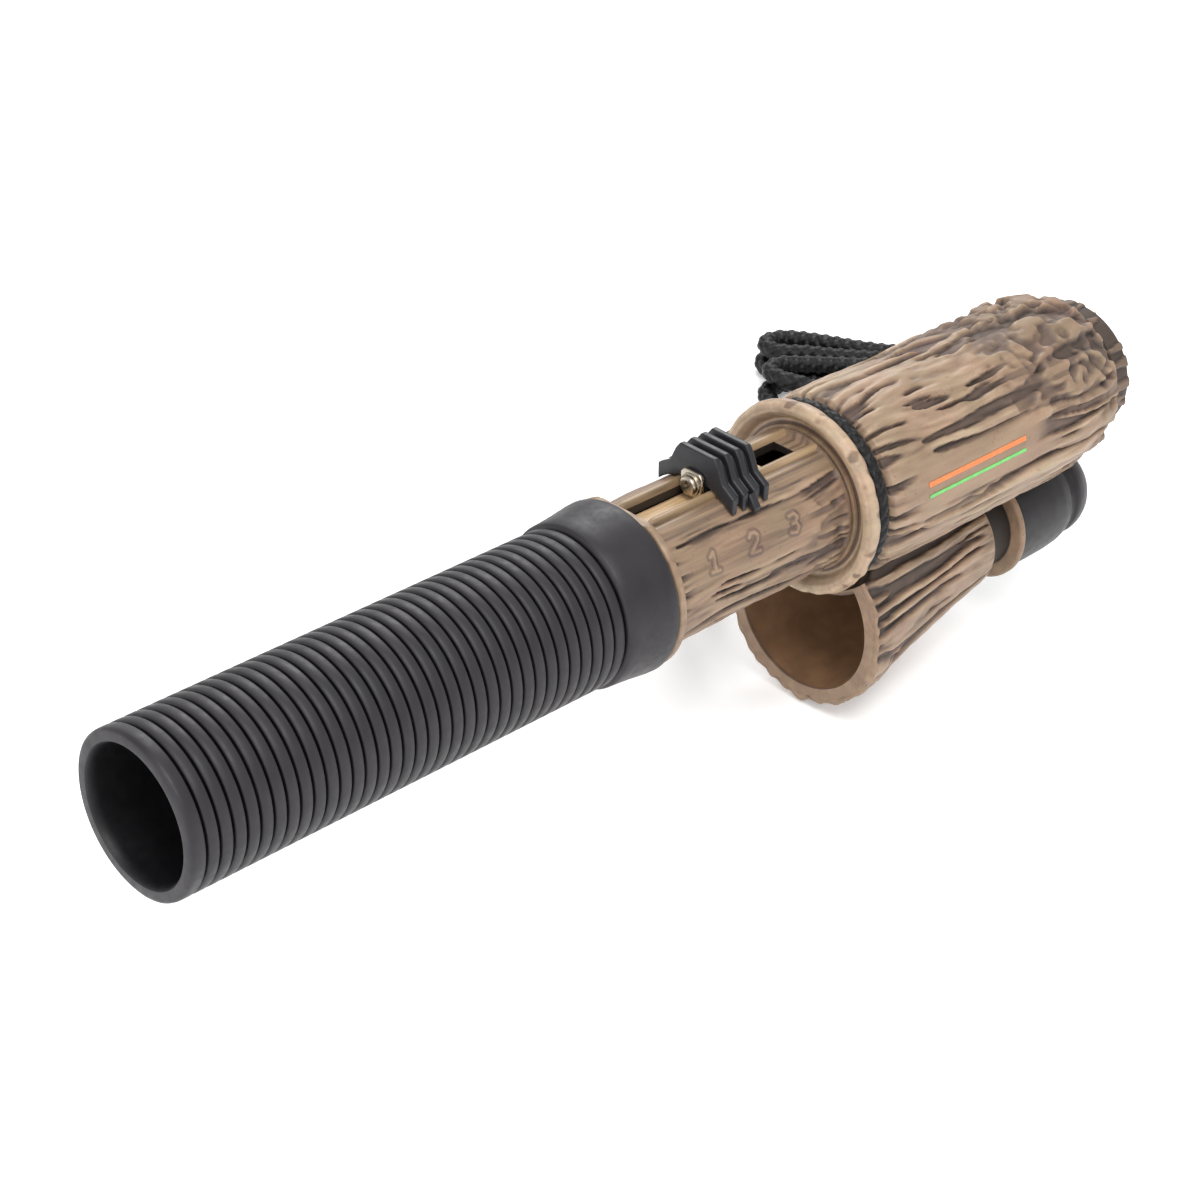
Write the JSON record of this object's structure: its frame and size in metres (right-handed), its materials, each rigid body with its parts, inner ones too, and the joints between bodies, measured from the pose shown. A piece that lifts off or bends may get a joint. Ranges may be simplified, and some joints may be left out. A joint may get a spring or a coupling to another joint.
{
  "type": "deer grunt call with snort tube",
  "caption": "Hunter's deer call: ribbed resonator hose, slide barrel with pitch slider, bark-textured main barrel, snort tube below and a braided lanyard in a tied hank.",
  "frame": {"origin": "middle of the object's length and width, level with the lowest point of the snort tube's bell, the lanyard left out", "axes": "+X from the hose mouth towards the mouthpieces, +Z from the snort tube towards the pitch slider, +Y completes the right-handed frame"},
  "size_m": [0.367, 0.148, 0.0802],
  "materials": {
    "hose_rubber": "satin",
    "camo_plastic": "moulded bark relief with dark hollows and tan crests",
    "grip_rubber": "satin",
    "black_plastic": "satin",
    "reed_film": "polished film",
    "seal_rubber": "satin",
    "nickel_steel": "bright nickel plate",
    "mouth_rubber": "satin",
    "lanyard_cord": "braided, matt"
  },
  "bodies": {
    "call_body": {"main_barrel": "camo_plastic", "snort_body": "camo_plastic", "snort_jet": "black_plastic", "lanyard_wrap": "lanyard_cord", "lanyard_knot": "lanyard_cord", "lanyard_lead_out": "lanyard_cord", "lanyard_lead_back": "lanyard_cord", "lanyard_hank": "lanyard_cord", "hank_tie": "lanyard_cord"},
    "slide_tube": {"slide_barrel": "camo_plastic", "barrel_oring": "seal_rubber", "tone_board": "black_plastic", "reed_wedge": "seal_rubber", "reed_holder": "black_plastic", "holder_oring": "seal_rubber"},
    "reed_strip": {"reed": "reed_film"},
    "hose": {"resonator_hose": "hose_rubber"},
    "slider": {"slider_grip": "grip_rubber", "clamp_nut": "nickel_steel", "reed_carriage": "black_plastic", "reed_band": "seal_rubber", "slot_shutter": "camo_plastic"},
    "clamp": {"clamp_plate": "nickel_steel"},
    "screw": {"clamp_screw": "nickel_steel"},
    "mouthpiece": {"main_mouthpiece": "camo_plastic", "mouthpiece_oring": "seal_rubber"},
    "snort_mouth": {"snort_mouthpiece": "mouth_rubber"}
  },
  "joints": [
    {"name": "slider_slide", "type": "slide", "parent": "slide_tube", "child": "slider", "axis": [1, 0, 0], "range_m": [-0.0125, 0.0125]},
    {"name": "clamp_loosen", "type": "slide", "parent": "slider", "child": "clamp", "axis": [-1, 0, 0], "range_m": [0, 0.001]},
    {"name": "screw_turn", "type": "hinge", "parent": "clamp", "child": "screw", "pos_m": [0.0055, 0, 0.0726], "axis": [-1, 0, 0], "range_deg": [0, 720]},
    {"name": "reed_flex", "type": "hinge", "parent": "slide_tube", "child": "reed_strip", "pos_m": [0.0535, 0, 0.0577], "axis": [0, -1, 0], "range_deg": [0, 1.3], "stiffness_Nm_per_rad": 0.02},
    {"name": "hose_pull", "type": "slide", "parent": "slide_tube", "child": "hose", "axis": [-1, 0, 0], "range_m": [0, 0.018]},
    {"name": "barrel_pull", "type": "slide", "parent": "call_body", "child": "slide_tube", "axis": [-1, 0, 0], "range_m": [0, 0.022]},
    {"name": "mouthpiece_pull", "type": "slide", "parent": "call_body", "child": "mouthpiece", "axis": [1, 0, 0], "range_m": [0, 0.016]},
    {"name": "snort_mouthpiece_pull", "type": "slide", "parent": "call_body", "child": "snort_mouth", "axis": [1, 0, 0], "range_m": [0, 0.0085]}
  ],
  "couplings": [
    {"joint": "screw_turn", "follows": "clamp_loosen", "rad_per_m": 12560}
  ]
}
